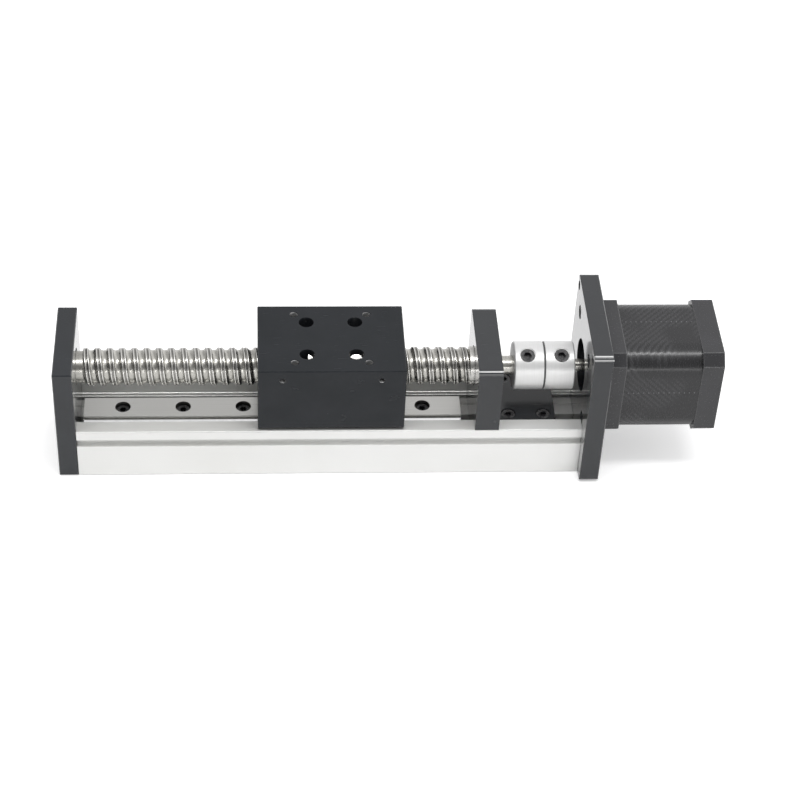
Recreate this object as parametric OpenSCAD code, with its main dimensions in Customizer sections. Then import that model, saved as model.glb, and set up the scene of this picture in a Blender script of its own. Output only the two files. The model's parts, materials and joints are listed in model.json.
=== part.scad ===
// Ball screw linear module: an extruded base with a recessed linear guide, a
// ball screw turned by a square stepping motor through a shaft coupling, and a
// carriage block that the ball nut drives along the rail.
// X runs along the screw towards the motor and Z is up. The origin is the
// middle of the base profile's underside, and the carriage stands mid-length.

/* [Base profile] */
// Length of the base profile
profile_l = 208; // [200:1:300]
// Width of the base profile
profile_w = 43; // [42:0.5:48]
// Height of the two top strips above the underside
profile_h = 24; // [23.5:0.5:26]
// Width of the channel between the strips
channel_w = 30; // [29:0.5:31]
// Height of the channel floor above the underside
floor_z = 10.6; // [10.4:0.1:11]
// Distance of the wall undercuts from the centre plane, inner side
undercut_y = 13.2; // [12.5:0.1:14]
// Depth that each undercut reaches under the wall
undercut_reach = 1.6; // [0.8:0.1:2]
// Depth of the undercuts below the channel floor
undercut_drop = 2.4; // [1:0.1:3]
// Mouth of the nut slot in the channel floor
floor_slot_mouth = 5.8; // [5:0.1:6.2]
// Inner width of the nut slot in the channel floor
floor_slot_w = 9; // [8:0.1:9.5]
// Inner height of the nut slot in the channel floor
floor_slot_h = 3; // [2.8:0.1:3.2]
// Length of the slide nuts along the rail
slide_nut_l = 6; // [5:0.5:10]
// Clearance of the slide nuts in their slot
slide_nut_gap = 0.2; // [0.1:0.05:0.3]
// Lip above the nut slot in the channel floor
floor_slot_lip = 1.6; // [1.4:0.1:2]
// Mouth of the side grooves and of the underside slots
side_slot_mouth = 3.6; // [3:0.1:4]
// Depth of the side grooves
side_slot_depth = 2.3; // [1.5:0.1:2.6]
// Distance from the strips' top to the middle of the side grooves
side_slot_drop = 6.1; // [5.6:0.1:6.4]
// Spacing of the two underside slots
base_slot_pitch = 20; // [19:0.5:21]
// Inner width of the underside slots
base_slot_w = 6.4; // [5.8:0.1:7]
// Inner height of the underside slots
base_slot_h = 2.8; // [2.4:0.1:3]
// Lip of the underside slots
base_slot_lip = 1.6; // [1.2:0.1:1.8]
// Edge chamfer of the profile
profile_edge = 0.4; // [0.2:0.1:0.6]

/* [Plates] */
// Thickness of the end plate
end_plate_t = 8; // [7.5:0.5:12]
// Height of the end plate above the screw axis
end_plate_rise = 14; // [12:0.5:18]
// Thickness of the motor plate
motor_plate_t = 8; // [7.5:0.5:12]
// Width of the motor plate
motor_plate_w = 55.5; // [52:0.5:60]
// Height of the motor plate above the screw axis
motor_plate_rise = 27; // [25.5:0.5:30]
// Corner radius of the motor plate
motor_plate_r = 2.5; // [2:0.5:4]
// Spacing of the two upper corner holes of the motor plate
corner_hole_pitch = 48; // [44:0.5:49]
// Diameter of the upper corner holes
corner_hole_d = 4; // [3:0.1:4.4]
// Distance of the corner holes below the plate's top
corner_hole_drop = 4; // [3.4:0.1:5]
// Edge chamfer of the plates
plate_edge = 0.4; // [0.2:0.1:0.8]
// Height of the lower screws that hold the plates
low_screw_z = 6; // [5:0.1:6.4]
// Depth of the upper plate screws below the strips' top
high_screw_drop = 10.5; // [10.2:0.1:11]
// Distance of the plate screws from the profile's sides
plate_screw_inset = 4; // [3.4:0.1:4.2]
// Engagement of the plate screws in the profile
plate_screw_reach = 10; // [8:1:16]

/* [Bearing block] */
// Thickness of the upright
block_t = 10; // [9.5:0.5:14]
// Width of the upright
block_w = 42.5; // [40:0.5:43]
// Height of the upright's top above the screw axis
block_rise = 14; // [12.5:0.5:18]
// Radius of the upright's top corners
block_r = 2.8; // [1:0.1:4]
// Length of the foot beyond the upright
foot_l = 24.2; // [20:0.1:28]
// Clearance of the foot in the channel, each side
foot_gap = 0.25; // [0.1:0.05:0.4]
// Spacing of the foot screws along the channel
foot_screw_dx = 14.6; // [12:0.1:15]
// Spacing of the foot screws across the channel
foot_screw_dy = 22; // [21.6:0.1:22.6]
// Engagement of the foot screws in the profile
foot_screw_reach = 5; // [4:0.5:5.5]

/* [Linear guide] */
// Width of the rail
rail_w = 12; // [11.5:0.1:12.5]
// Height of the rail
rail_h = 8; // [7.6:0.1:8.4]
// Pitch of the rail screws
rail_pitch = 25; // [20:1:30]
// Gap between the end plate and the rail
rail_start_gap = 2; // [1:0.5:6]
// Gap between the rail and the bearing block
rail_end_gap = 4.2; // [1:0.1:8]
// Diameter of the rail's screw counterbores
rail_bore_d = 6.4; // [5.8:0.1:6.8]
// Depth of the rail's screw counterbores
rail_bore_depth = 4.5; // [4:0.1:4.8]
// Height of the guide block's top above the channel floor
guide_top = 13; // [12.8:0.1:13.2]
// Clearance under the guide block
guide_under = 3; // [2.8:0.1:3.4]
// Width of the guide block
guide_w = 27; // [26:0.5:27.5]
// Length of the steel part of the guide block
guide_steel_l = 32.4; // [30:0.2:36]
// Length of each end cap of the guide block
guide_cap_l = 5; // [4:0.1:6]
// Thickness of each end seal
guide_seal_t = 1.5; // [1:0.1:2]
// Diameter of the guide balls
guide_ball_d = 2; // [1.8:0.1:2.2]
// Height of the guide balls above the rail's underside
guide_ball_z = 6.1; // [5.6:0.1:6.2]

/* [Ball screw] */
// Distance from the guide block's top up to the ball nut
nut_under = 3.4; // [3.2:0.1:5]
// Outside diameter of the screw
screw_d = 15.6; // [15.2:0.1:15.8]
// Lead of the right-hand ball track
lead = 5; // [4.5:0.5:6]
// Radius of the ball track's section
track_section_r = 1.65; // [1.6:0.05:1.75]
// Depth of the ball track
track_depth = 1.04; // [0.95:0.01:1.1]
// Diameter of the two bearing journals
journal_d = 10; // [9.5:0.1:10.5]
// Diameter of the drive end that enters the coupling
drive_end_d = 8; // [6:0.5:8.5]
// Length of the turned neck beside the end plate
neck_l = 3; // [1:0.5:6]
// Length of the plain run-out beside the bearing block
runout_l = 3.6; // [2:0.1:6]
// Height of the run-out above the thread's crests
runout_step = 0.1; // [0.05:0.05:0.2]
// Diameter of the turned neck
neck_d = 13.2; // [11:0.1:13.4]
// Diameter of the shoulder against the fixed bearing
shoulder_d = 13; // [12:0.1:14]

/* [Ball nut] */
// Outside diameter of the ball nut
nut_d = 28; // [27:0.1:28.4]
// Length of the ball nut
nut_l = 37.5; // [34:0.5:38]
// Position of the nut's plain end from the carriage's middle
nut_start = -9.5; // [-10:0.1:-9]
// Diameter of the nut balls
nut_ball_d = 2.9; // [2.7:0.1:3]
// Radial room over the nut's balls
nut_ball_gap = 0.12; // [0.08:0.01:0.2]
// Room before the first and after the last ball of the nut
nut_cavity_gap = 0.5; // [0.3:0.1:1]
// Turns of balls in the nut
nut_turns = 3; // [2:1:4]
// Balls in each turn
balls_per_turn = 16; // [12:1:17]
// Thickness of the wipers at the nut's ends
wiper_t = 2.5; // [2:0.1:3.5]
// Outside diameter of the wipers
wiper_d = 22; // [20:0.5:23]
// Spacing of the two screws that lock the nut
lock_screw_pitch = 16; // [12:1:20]
// Diameter of the lock screws
lock_screw_d = 4; // [3:0.5:4.5]

/* [Carriage] */
// Length of the carriage block
carriage_l = 60; // [58:1:64]
// Width of the carriage block
carriage_w = 41.3; // [40:0.1:43]
// Wall of the carriage block above the nut's bore
carriage_roof = 1; // [0.8:0.1:3]
// Spacing of the access holes, both ways
access_pitch = 20; // [19.5:0.1:20.2]
// Diameter of the access holes
access_d = 6.2; // [6:0.1:6.4]
// Spacing of the four mounting holes, both ways
mount_pitch = 30; // [29:0.5:32]
// Tapping diameter of the mounting holes
mount_hole_d = 3.3; // [2.5:0.1:3.4]
// Depth of the mounting holes
mount_hole_depth = 8; // [6:0.5:9]
// Spacing of the two holes in the front side
side_hole_pitch = 40; // [38:0.5:44]
// Tapping diameter of the side holes
side_hole_d = 2.5; // [2:0.1:3]
// Depth of the side holes
side_hole_depth = 6; // [4:0.5:8]
// Distance of the side holes below the carriage's top
side_hole_drop = 5; // [4:0.1:6]
// Depth of the carriage under the guide block's screw heads
carriage_seat_t = 1.9; // [1.6:0.1:2.2]
// Engagement of the screws in the guide block
guide_screw_reach = 3.4; // [2.8:0.1:3.6]
// Radial room around the screw at the carriage's plain end
carriage_screw_room = 1.5; // [0.8:0.1:3]
// Chamfer of the carriage's lower long edges
carriage_foot_edge = 1.2; // [0.5:0.1:2]
// Chamfer of the carriage's other edges
carriage_edge = 0.4; // [0.2:0.1:0.6]

/* [Coupling] */
// Outside diameter of the coupling
coupling_d = 20; // [19:0.5:21]
// Length of the coupling over both hubs
coupling_l = 25; // [24:0.5:28]
// Thickness of the insert's disc, which shows as the middle slot
insert_t = 0.8; // [0.6:0.1:1.2]
// Width of the insert's keys
key_w = 5; // [4:0.1:5.5]
// Length of the insert's keys
key_l = 15; // [13:0.5:16]
// Height of the insert's keys
key_h = 2.4; // [1.8:0.1:2.6]
// Gap between the coupling and the motor plate
coupling_gap = 3.6; // [2:0.1:6]
// Length of drive end that shows between block and coupling
drive_gap = 6.2; // [4:0.1:9]
// Diameter of the coupling's set screws
set_screw_d = 6; // [4:0.5:6]
// Width across flats of the set screws' sockets
set_screw_hex = 3; // [2:0.5:3]
// Depth of the set screws below the coupling's surface
set_screw_sink = 1; // [0.8:0.1:1.5]
// Angle of the set screws above the horizontal
set_screw_angle = 66; // [40:1:90]

/* [Motor] */
// Side of the motor's square end caps
motor_w = 42; // [40:0.1:42.4]
// Length of the front cap
front_cap_l = 7; // [6.6:0.1:9]
// Length of the lamination stack
stack_l = 31.2; // [28:0.1:60]
// Length of the rear cap
rear_cap_l = 8.8; // [8.4:0.1:11]
// Corner chamfer of the end caps
cap_chamfer = 4.2; // [3:0.1:4.5]
// Amount by which the stack is narrower than the caps
stack_inset = 0.4; // [0.2:0.1:1.2]
// Corner radius of the stack
stack_r = 10.5; // [8:0.5:11]
// Diameter of the centring boss
pilot_d = 22; // [21:0.5:23]
// Height of the centring boss
pilot_h = 2; // [1.5:0.1:2.4]
// Distance of the motor's screws from its sides
motor_screw_inset = 5.5; // [5.4:0.1:5.8]
// Engagement of the screws that hold the motor
mount_screw_reach = 3.2; // [2.8:0.1:3.4]
// Engagement of the screws that hold the motor together
tie_screw_reach = 2.6; // [2.2:0.1:2.8]
// Diameter of the motor shaft
shaft_d = 5; // [4.8:0.1:5.2]
// Length of shaft in front of the motor's face
shaft_l = 20; // [18:0.1:20.4]
// Diameter of the rotor
rotor_d = 23.6; // [22:0.2:24]
// Width of the connector on the rear cap
connector_w = 15; // [13:0.5:16]
// Length of the connector along the motor
connector_l = 5.5; // [5:0.1:6]
// Height of the connector from its seat to its open face
connector_h = 5; // [4:0.5:6]
// Depth of the connector's seat in the rear cap
connector_seat = 3; // [2.5:0.1:3.5]
// Wall and floor of the connector
connector_wall = 0.7; // [0.5:0.1:0.9]
// Spacing of the connector's six pins
pin_pitch = 2; // [1.6:0.1:2.2]
// Thickness of the pins
pin_w = 0.5; // [0.4:0.1:0.7]

/* [Bearings] */
// Outside diameter of the end plate's bearing
floating_od = 19; // [18.6:0.1:19.4]
// Width of the end plate's bearing
floating_w = 5; // [4.6:0.1:5.4]
// Outside diameter of the block's bearing
fixed_od = 22; // [21.6:0.1:22.4]
// Width of the block's bearing
fixed_w = 6; // [5.6:0.1:6.4]
// Outside diameter of the motor's bearings
motor_bearing_od = 16; // [15.6:0.1:16.4]
// Width of the motor's bearings
motor_bearing_w = 5; // [4.6:0.1:5.2]
// Thickness of the retaining rings
ring_t = 1; // [0.8:0.1:1.2]
// Depth of the retaining rings' grooves
ring_groove = 0.5; // [0.3:0.1:0.6]
// Radial width of the retaining rings
ring_width = 1.9; // [1.5:0.1:2.2]
// Opening of the retaining rings
ring_opening = 5; // [3:0.5:7]
// Radial room around the screw in the bearing block
block_screw_room = 0.5; // [0.4:0.1:1.5]

/* [Fasteners] */
// Thread diameter of the M3 screws
m3_d = 3; // [2.8:0.1:3.1]
// Head diameter of the M3 cap screws
m3_head_d = 5.5; // [5.2:0.1:5.6]
// Head height of the M3 cap screws
m3_head_h = 3; // [2.6:0.1:3.1]
// Hexagon socket of the M3 cap screws, across flats
m3_hex = 2.5; // [2:0.1:2.6]
// Counterbore diameter for the M3 heads
m3_bore_d = 6; // [5.8:0.1:6.2]
// Counterbore depth for the M3 heads
m3_bore_depth = 3.4; // [3.2:0.1:3.8]

/* [Clearances] */
// Radial clearance of screws in their tapped holes
thread_gap = 0.05; // [0.02:0.01:0.1]
// Radial clearance of screws in their through holes
hole_gap = 0.2; // [0.1:0.05:0.3]
// Radial clearance of bearing balls in their tracks
ball_gap = 0.04; // [0.02:0.01:0.06]
// Radial clearance between the screw and the nut's bore
nut_gap = 0.3; // [0.25:0.05:0.4]
// Clearance between the carriage and the strips
slide_gap = 0.3; // [0.2:0.05:0.5]
// Clearance between the rail and the guide block
guide_gap = 0.2; // [0.1:0.05:0.3]
// Clearance around the rotor
rotor_gap = 0.3; // [0.2:0.05:0.4]

/* [Hidden] */
$fn = 64;

// Small overlap that lets a cut pass through a face
eps = 0.5;

// Places along the screw
x_left = -profile_l/2;
x_right = profile_l/2;
motor_face_x = x_right + motor_plate_t;
coupling_x1 = x_right - coupling_gap;
coupling_x0 = coupling_x1 - coupling_l;
block_x1 = coupling_x0 - drive_gap;
block_x0 = block_x1 - block_t;
foot_screw_x = block_x1 + (foot_l - foot_screw_dx)/2;

// Heights that follow the screw axis
guide_z0 = floor_z + guide_under;
guide_z1 = floor_z + guide_top;
screw_z = guide_z1 + nut_under + nut_d/2;
end_plate_h = screw_z + end_plate_rise;
motor_plate_h = screw_z + motor_plate_rise;
block_h = screw_z + block_rise;
foot_screw_xy = [for (i = [0, 1]) for (y = [-1, 1])
    [foot_screw_x + i*foot_screw_dx, y*foot_screw_dy/2]];

// Linear guide
rail_x0 = x_left + rail_start_gap;
rail_l = block_x0 - rail_end_gap - rail_x0;
rail_top = floor_z + rail_h;
rail_holes = floor((rail_l - 2*rail_bore_d)/rail_pitch) + 1;
rail_hole_x = [for (i = [0:rail_holes-1]) rail_x0 + rail_l/2 + rail_pitch*(i - (rail_holes-1)/2)];
guide_track_r = guide_ball_d/2 + 0.15;
guide_ball_y = rail_w/2 + 0.1;

// Ball screw and nut
crest_r = screw_d/2;
root_r = crest_r - track_depth;
track_r = root_r + track_section_r;
thread_x0 = x_left + neck_l;
thread_x1 = block_x0 - runout_l;
thread_steps = 24;
thread_start = thread_x0 - 1.5*lead - 0.037;
track_edge = acos((track_r - crest_r)/track_section_r);
track_angles = [for (i = [-2:2]) track_edge*i/2];
nut_bore_gap = 0.02;
nut_x0 = nut_start;
nut_x1 = nut_start + nut_l;
nut_cavity_r = track_r + nut_ball_d/2 + nut_ball_gap;
nut_mid = (nut_x0 + nut_x1)/2;
// The first ball sits where the track's groove passes the meridian of the thread's start
nut_ball_x0 = thread_start + lead*round((nut_mid - nut_turns*lead/2 - thread_start)/lead);
nut_cavity_x0 = nut_ball_x0 - nut_ball_d/2 - nut_cavity_gap;
nut_cavity_x1 = nut_ball_x0 + nut_turns*lead + nut_ball_d/2 + nut_cavity_gap;
lock_screw_x = [nut_mid - lock_screw_pitch/2, nut_mid + lock_screw_pitch/2];
lock_dimple = 0.5;

// Fixed bearing in the block, from its rear face
fixed_x1 = block_x1 - 2*ring_t;
fixed_x0 = fixed_x1 - fixed_w;
hub_l = (coupling_l - insert_t)/2;
drive_end_x = coupling_x0 + hub_l - key_h - 0.5;

// Carriage
wing_z = profile_h + slide_gap;
carriage_z1 = screw_z + nut_d/2 + carriage_roof;
carriage_seat_z = guide_z1 + carriage_seat_t;
access_xy = [for (x = [-1, 1]) for (y = [-1, 1]) [x*access_pitch/2, y*access_pitch/2]];

// Motor
motor_pitch = motor_w - 2*motor_screw_inset;
stack_x0 = motor_face_x + front_cap_l;
stack_x1 = stack_x0 + stack_l;
motor_x1 = stack_x1 + rear_cap_l;
cap_wall = 1.2;
connector_gap = 0.05;
connector_x0 = stack_x1 + cap_wall + connector_gap + 0.3;
front_bearing_x = stack_x0 - motor_bearing_w - 0.6;
rear_bearing_x = stack_x1 + 0.6;

// Plate screws
plate_screw_y = profile_w/2 - plate_screw_inset;
high_screw_z = profile_h - high_screw_drop;
plate_screw_yz = [for (y = [-1, 1]) for (z = [low_screw_z, high_screw_z]) [y*plate_screw_y, z]];

// ---------------------------------------------------------------- helpers

// A round bar along X
module bar_x(x0, x1, d) {
    translate([x0, 0, 0]) rotate([0, 90, 0]) cylinder(h = x1 - x0, d = d);
}

// A section drawn in Y and Z, drawn out along X
module along_x(x0, x1) {
    translate([x0, 0, 0]) rotate([90, 0, 90]) linear_extrude(x1 - x0) children();
}

// A rectangle with its four corners cut at 45 degrees
module chamfered(w, h, c) {
    polygon([
        [c, 0], [w - c, 0], [w, c], [w, h - c],
        [w - c, h], [c, h], [0, h - c], [0, c]
    ]);
}

// A box with all twelve edges chamfered
module chamfered_box(size, c) {
    intersection() {
        linear_extrude(size.z) chamfered(size.x, size.y, c);
        translate([0, size.y, 0]) rotate([90, 0, 0]) linear_extrude(size.y) chamfered(size.x, size.z, c);
        along_x(0, size.x) chamfered(size.y, size.z, c);
    }
}

// A rectangle centred on its own middle with four round corners
module rounded(w, h, r) {
    square([w - 2*r, h], center = true);
    square([w, h - 2*r], center = true);
    for (x = [-1, 1]) for (y = [-1, 1]) translate([x*(w/2 - r), y*(h/2 - r)]) circle(r);
}

// A socket cap screw: the head's seat is at z = 0 and the shank points down
module cap_screw(d, length, head_d, head_h, hex) {
    difference() {
        union() {
            translate([0, 0, -length]) cylinder(h = length + head_h/2, d = d);
            cylinder(h = head_h, d = head_d);
        }
        translate([0, 0, head_h*0.45]) cylinder(h = head_h, d = hex/cos(30), $fn = 6);
    }
}

module m3_screw(length) cap_screw(m3_d, length, m3_head_d, m3_head_h, m3_hex);

// The hole for an M3 cap screw, with its seat at z = 0 and open upwards
module m3_hole(length, gap, bore_depth) {
    translate([0, 0, -length]) cylinder(h = length + eps, d = m3_d + 2*gap);
    cylinder(h = bore_depth + eps, d = m3_bore_d);
}

// Outer ring of a ball bearing along X, from x = 0
module bearing_outer(bore, od, w) {
    ball = (od - bore)*0.28;
    pitch_r = (od + bore)/4;
    rotate([0, 90, 0]) rotate_extrude() difference() {
        translate([pitch_r + ball*0.25, 0]) square([od/2 - pitch_r - ball*0.25, w]);
        translate([pitch_r, w/2]) circle(ball/2 + ball_gap);
    }
}

// Inner ring of the same bearing
module bearing_inner(bore, od, w) {
    ball = (od - bore)*0.28;
    pitch_r = (od + bore)/4;
    rotate([0, 90, 0]) rotate_extrude() difference() {
        translate([bore/2, 0]) square([pitch_r - ball*0.25 - bore/2, w]);
        translate([pitch_r, w/2]) circle(ball/2 + ball_gap);
    }
}

// Balls of the same bearing
module bearing_ball_set(bore, od, w) {
    ball = (od - bore)*0.28;
    pitch_r = (od + bore)/4;
    count = floor(2*PI*pitch_r/(ball*1.25));
    for (i = [0:count-1]) rotate([360*i/count, 0, 0]) translate([w/2, 0, pitch_r]) sphere(d = ball);
}

// A flat snap ring along X with a gap at its top
module snap_ring(x0, r_in, r_out, gap) {
    translate([x0, 0, 0]) difference() {
        bar_x(0, ring_t, 2*r_out);
        bar_x(-eps, ring_t + eps, 2*r_in);
        translate([-eps, -gap/2, 0]) cube([ring_t + 2*eps, gap, r_out + eps]);
    }
}

// ----------------------------------------------------------- base profile

// Cross-section of the profile in Y and Z
module profile_section() {
    wall_y = channel_w/2;
    side_z = profile_h - side_slot_drop;
    undercut_roof = floor_z + 1;
    difference() {
        translate([-profile_w/2, 0]) chamfered(profile_w, profile_h, profile_edge);
        translate([-wall_y, floor_z]) square([channel_w, profile_h]);
        // nut slot under the rail
        translate([-floor_slot_mouth/2, floor_z - floor_slot_lip - eps])
            square([floor_slot_mouth, floor_slot_lip + 2*eps]);
        translate([-floor_slot_w/2, floor_z - floor_slot_lip - floor_slot_h])
            square([floor_slot_w, floor_slot_h]);
        for (side = [-1, 1]) scale([side, 1]) {
            // undercut at the foot of the wall
            translate([undercut_y, floor_z - undercut_drop])
                square([wall_y + undercut_reach - undercut_y, undercut_drop + undercut_roof - floor_z]);
            // scribed lines on the floor and on the wall
            translate([undercut_y - 4.1, floor_z - 0.3]) square([0.4, 1]);
            translate([wall_y - eps, floor_z + 2.6]) square([eps + 0.25, 0.4]);
            // side groove
            translate([profile_w/2 - side_slot_depth, side_z - side_slot_mouth/2])
                square([side_slot_depth + eps, side_slot_mouth]);
            // underside slot
            translate([base_slot_pitch/2 - side_slot_mouth/2, -eps])
                square([side_slot_mouth, base_slot_lip + 2*eps]);
            translate([base_slot_pitch/2 - base_slot_w/2, base_slot_lip])
                square([base_slot_w, base_slot_h]);
            // cored screw holes for the plates
            for (z = [low_screw_z, high_screw_z])
                translate([plate_screw_y, z]) circle(d = m3_d + 2*thread_gap);
        }
    }
}

module base_profile() color("lightgray") {
    difference() {
        along_x(x_left, x_right) profile_section();
        // tapped holes for the bearing block's foot
        for (p = foot_screw_xy)
            translate([p.x, p.y, floor_z - foot_screw_reach - 0.3])
                cylinder(h = foot_screw_reach + 1, d = m3_d + 2*thread_gap);
    }
}

// ------------------------------------------------------------------ plates

// Screws and holes that fix a plate to the profile, on the plate's outer face
module plate_screw_places() {
    for (p = plate_screw_yz) translate([0, p.x, p.y]) rotate([0, 90, 0]) children();
}

module end_plate() color("dimgray") difference() {
    translate([x_left - end_plate_t, -profile_w/2, 0])
        chamfered_box([end_plate_t, profile_w, end_plate_h], plate_edge);
    // blind pocket of the floating bearing
    translate([0, 0, screw_z]) bar_x(x_left - floating_w - 0.3, x_left + eps, floating_od);
    translate([x_left - end_plate_t + m3_bore_depth, 0, 0]) plate_screw_places()
        mirror([0, 0, 1]) m3_hole(end_plate_t, hole_gap, m3_bore_depth);
}

module end_plate_screws() color("#222222") {
    length = end_plate_t - m3_bore_depth + plate_screw_reach;
    translate([x_left - end_plate_t + m3_bore_depth, 0, 0]) plate_screw_places()
        mirror([0, 0, 1]) m3_screw(length);
}

// Places of the motor's screws, as seen along X
module motor_screw_places() {
    for (y = [-1, 1]) for (z = [-1, 1])
        translate([0, y*motor_pitch/2, screw_z + z*motor_pitch/2]) rotate([0, 90, 0]) children();
}

module motor_plate() color("dimgray") difference() {
    intersection() {
        along_x(x_right, motor_face_x) translate([0, motor_plate_h/2])
            rounded(motor_plate_w, motor_plate_h, motor_plate_r);
        translate([x_right, -motor_plate_w/2, 0])
            chamfered_box([motor_plate_t, motor_plate_w, motor_plate_h], plate_edge);
    }
    // centring bore of the motor
    translate([0, 0, screw_z]) bar_x(x_right - eps, motor_face_x + eps, pilot_d + 0.1);
    translate([x_right + m3_bore_depth, 0, 0]) motor_screw_places()
        mirror([0, 0, 1]) m3_hole(motor_plate_t, hole_gap, m3_bore_depth);
    translate([motor_face_x - m3_bore_depth, 0, 0]) plate_screw_places()
        m3_hole(motor_plate_t, hole_gap, m3_bore_depth);
    for (y = [-1, 1]) translate([0, y*corner_hole_pitch/2, motor_plate_h - corner_hole_drop])
        bar_x(x_right - eps, motor_face_x + eps, corner_hole_d);
}

module motor_plate_screws() color("#222222") {
    length = motor_plate_t - m3_bore_depth + plate_screw_reach;
    translate([motor_face_x - m3_bore_depth, 0, 0]) plate_screw_places() m3_screw(length);
}

// ----------------------------------------------------------- bearing block

module bearing_block() color("dimgray") {
    upright_h = block_h - profile_h;
    foot_w = channel_w - 2*foot_gap;
    difference() {
        union() {
            // upright on the strips, with round top corners
            along_x(block_x0, block_x1) {
                translate([0, profile_h + upright_h/2]) rounded(block_w, upright_h, block_r);
                translate([-block_w/2, profile_h]) square([block_w, upright_h - block_r]);
            }
            // foot in the channel
            translate([block_x0, -foot_w/2, floor_z])
                cube([block_t + foot_l, foot_w, profile_h - floor_z]);
        }
        translate([0, 0, screw_z]) {
            bar_x(block_x0 - eps, block_x1, screw_d + 2*block_screw_room);
            bar_x(fixed_x0, block_x1 + eps, fixed_od);
            // groove of the bore's retaining ring
            bar_x(fixed_x1, fixed_x1 + ring_t + 0.1, fixed_od + 2*ring_groove + 0.2);
        }
        for (p = foot_screw_xy) translate([p.x, p.y, profile_h - m3_bore_depth])
            m3_hole(profile_h, hole_gap, m3_bore_depth);
    }
}

module bearing_block_screws() color("#222222") {
    length = profile_h - m3_bore_depth - floor_z + foot_screw_reach;
    for (p = foot_screw_xy) translate([p.x, p.y, profile_h - m3_bore_depth]) m3_screw(length);
}

module bore_retaining_ring() color("gray")
    translate([0, 0, screw_z])
        snap_ring(fixed_x1, fixed_od/2 + ring_groove - ring_width, fixed_od/2 + ring_groove, ring_opening);

module shaft_retaining_ring() color("gray")
    translate([0, 0, screw_z])
        snap_ring(fixed_x1, journal_d/2 - ring_groove, journal_d/2 - ring_groove + ring_width, ring_opening);

// ---------------------------------------------------------------- bearings

module floating_bearing_outer() color("gray")
    translate([x_left - floating_w, 0, screw_z]) bearing_outer(journal_d, floating_od, floating_w);

module floating_bearing_inner() color("silver")
    translate([x_left - floating_w, 0, screw_z]) bearing_inner(journal_d, floating_od, floating_w);

module floating_bearing_balls() color("white")
    translate([x_left - floating_w, 0, screw_z]) bearing_ball_set(journal_d, floating_od, floating_w);

module fixed_bearing_outer() color("gray")
    translate([fixed_x0, 0, screw_z]) bearing_outer(journal_d, fixed_od, fixed_w);

module fixed_bearing_inner() color("silver")
    translate([fixed_x0, 0, screw_z]) bearing_inner(journal_d, fixed_od, fixed_w);

module fixed_bearing_balls() color("white")
    translate([fixed_x0, 0, screw_z]) bearing_ball_set(journal_d, fixed_od, fixed_w);

module motor_bearing_places() {
    for (x = [front_bearing_x, rear_bearing_x]) translate([x, 0, screw_z]) children();
}

module motor_bearing_outers() color("gray")
    motor_bearing_places() bearing_outer(shaft_d, motor_bearing_od, motor_bearing_w);

module motor_bearing_inners() color("silver")
    motor_bearing_places() bearing_inner(shaft_d, motor_bearing_od, motor_bearing_w);

module motor_bearing_balls() color("white")
    motor_bearing_places() bearing_ball_set(shaft_d, motor_bearing_od, motor_bearing_w);

// ------------------------------------------------------------ linear guide

module linear_rail() color("darkgray") difference() {
    along_x(rail_x0, rail_x0 + rail_l) difference() {
        translate([-rail_w/2, floor_z]) chamfered(rail_w, rail_h, 0.4);
        // ball tracks
        for (side = [-1, 1]) translate([side*guide_ball_y, floor_z + guide_ball_z])
            circle(guide_track_r);
    }
    for (x = rail_hole_x) translate([x, 0, rail_top - rail_bore_depth]) {
        cylinder(h = rail_bore_depth + eps, d = rail_bore_d);
        translate([0, 0, -rail_h]) cylinder(h = rail_h + eps, d = m3_d + 2*hole_gap);
    }
}

rail_screw_l = rail_h - rail_bore_depth + floor_slot_lip + floor_slot_h - 2*slide_nut_gap;

module rail_screws() color("#222222")
    for (x = rail_hole_x) translate([x, 0, rail_top - rail_bore_depth]) m3_screw(rail_screw_l);

module rail_nuts() color("silver") {
    nut_w = floor_slot_w - 2*slide_nut_gap;
    nut_h = floor_slot_h - 2*slide_nut_gap;
    for (x = rail_hole_x) translate([x, 0, floor_z - floor_slot_lip - nut_h]) difference() {
        translate([-slide_nut_l/2, -nut_w/2, 0]) cube([slide_nut_l, nut_w, nut_h]);
        translate([0, 0, -eps]) cylinder(h = nut_h + 2*eps, d = m3_d + 2*thread_gap);
    }
}

// Section of the guide block's parts, with the rail's slot widened by a gap
module guide_section(w, inset, gap) {
    difference() {
        translate([-w/2, guide_z0 + inset]) chamfered(w, guide_z1 - guide_z0 - inset, 0.5);
        translate([-rail_w/2 - gap, guide_z0 - eps])
            square([rail_w + 2*gap, rail_top + gap - guide_z0 + eps]);
    }
}

module guide_block() color("silver") difference() {
    along_x(-guide_steel_l/2, guide_steel_l/2) difference() {
        guide_section(guide_w, 0, guide_gap);
        for (side = [-1, 1]) translate([side*guide_ball_y, floor_z + guide_ball_z])
            circle(guide_ball_d/2 + ball_gap);
    }
    for (p = access_xy) translate([p.x, p.y, guide_z1 - guide_screw_reach - 0.2])
        cylinder(h = guide_screw_reach + eps, d = m3_d + 2*thread_gap);
}

module guide_balls() color("white") {
    count = floor((guide_steel_l - guide_ball_d)/(guide_ball_d*1.1));
    for (side = [-1, 1]) for (i = [0:count-1])
        translate([(i - (count-1)/2)*guide_ball_d*1.1, side*guide_ball_y, floor_z + guide_ball_z])
            sphere(d = guide_ball_d);
}

module guide_end_caps() color("seagreen") {
    for (side = [0, 1]) mirror([side, 0, 0])
        along_x(guide_steel_l/2, guide_steel_l/2 + guide_cap_l) guide_section(guide_w - 0.6, 0.2, 0.4);
}

module guide_end_seals() color("#333333") {
    x = guide_steel_l/2 + guide_cap_l;
    for (side = [0, 1]) mirror([side, 0, 0])
        along_x(x, x + guide_seal_t) guide_section(guide_w - 1, 0.4, guide_gap);
}

// -------------------------------------------------------------- ball screw

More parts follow.
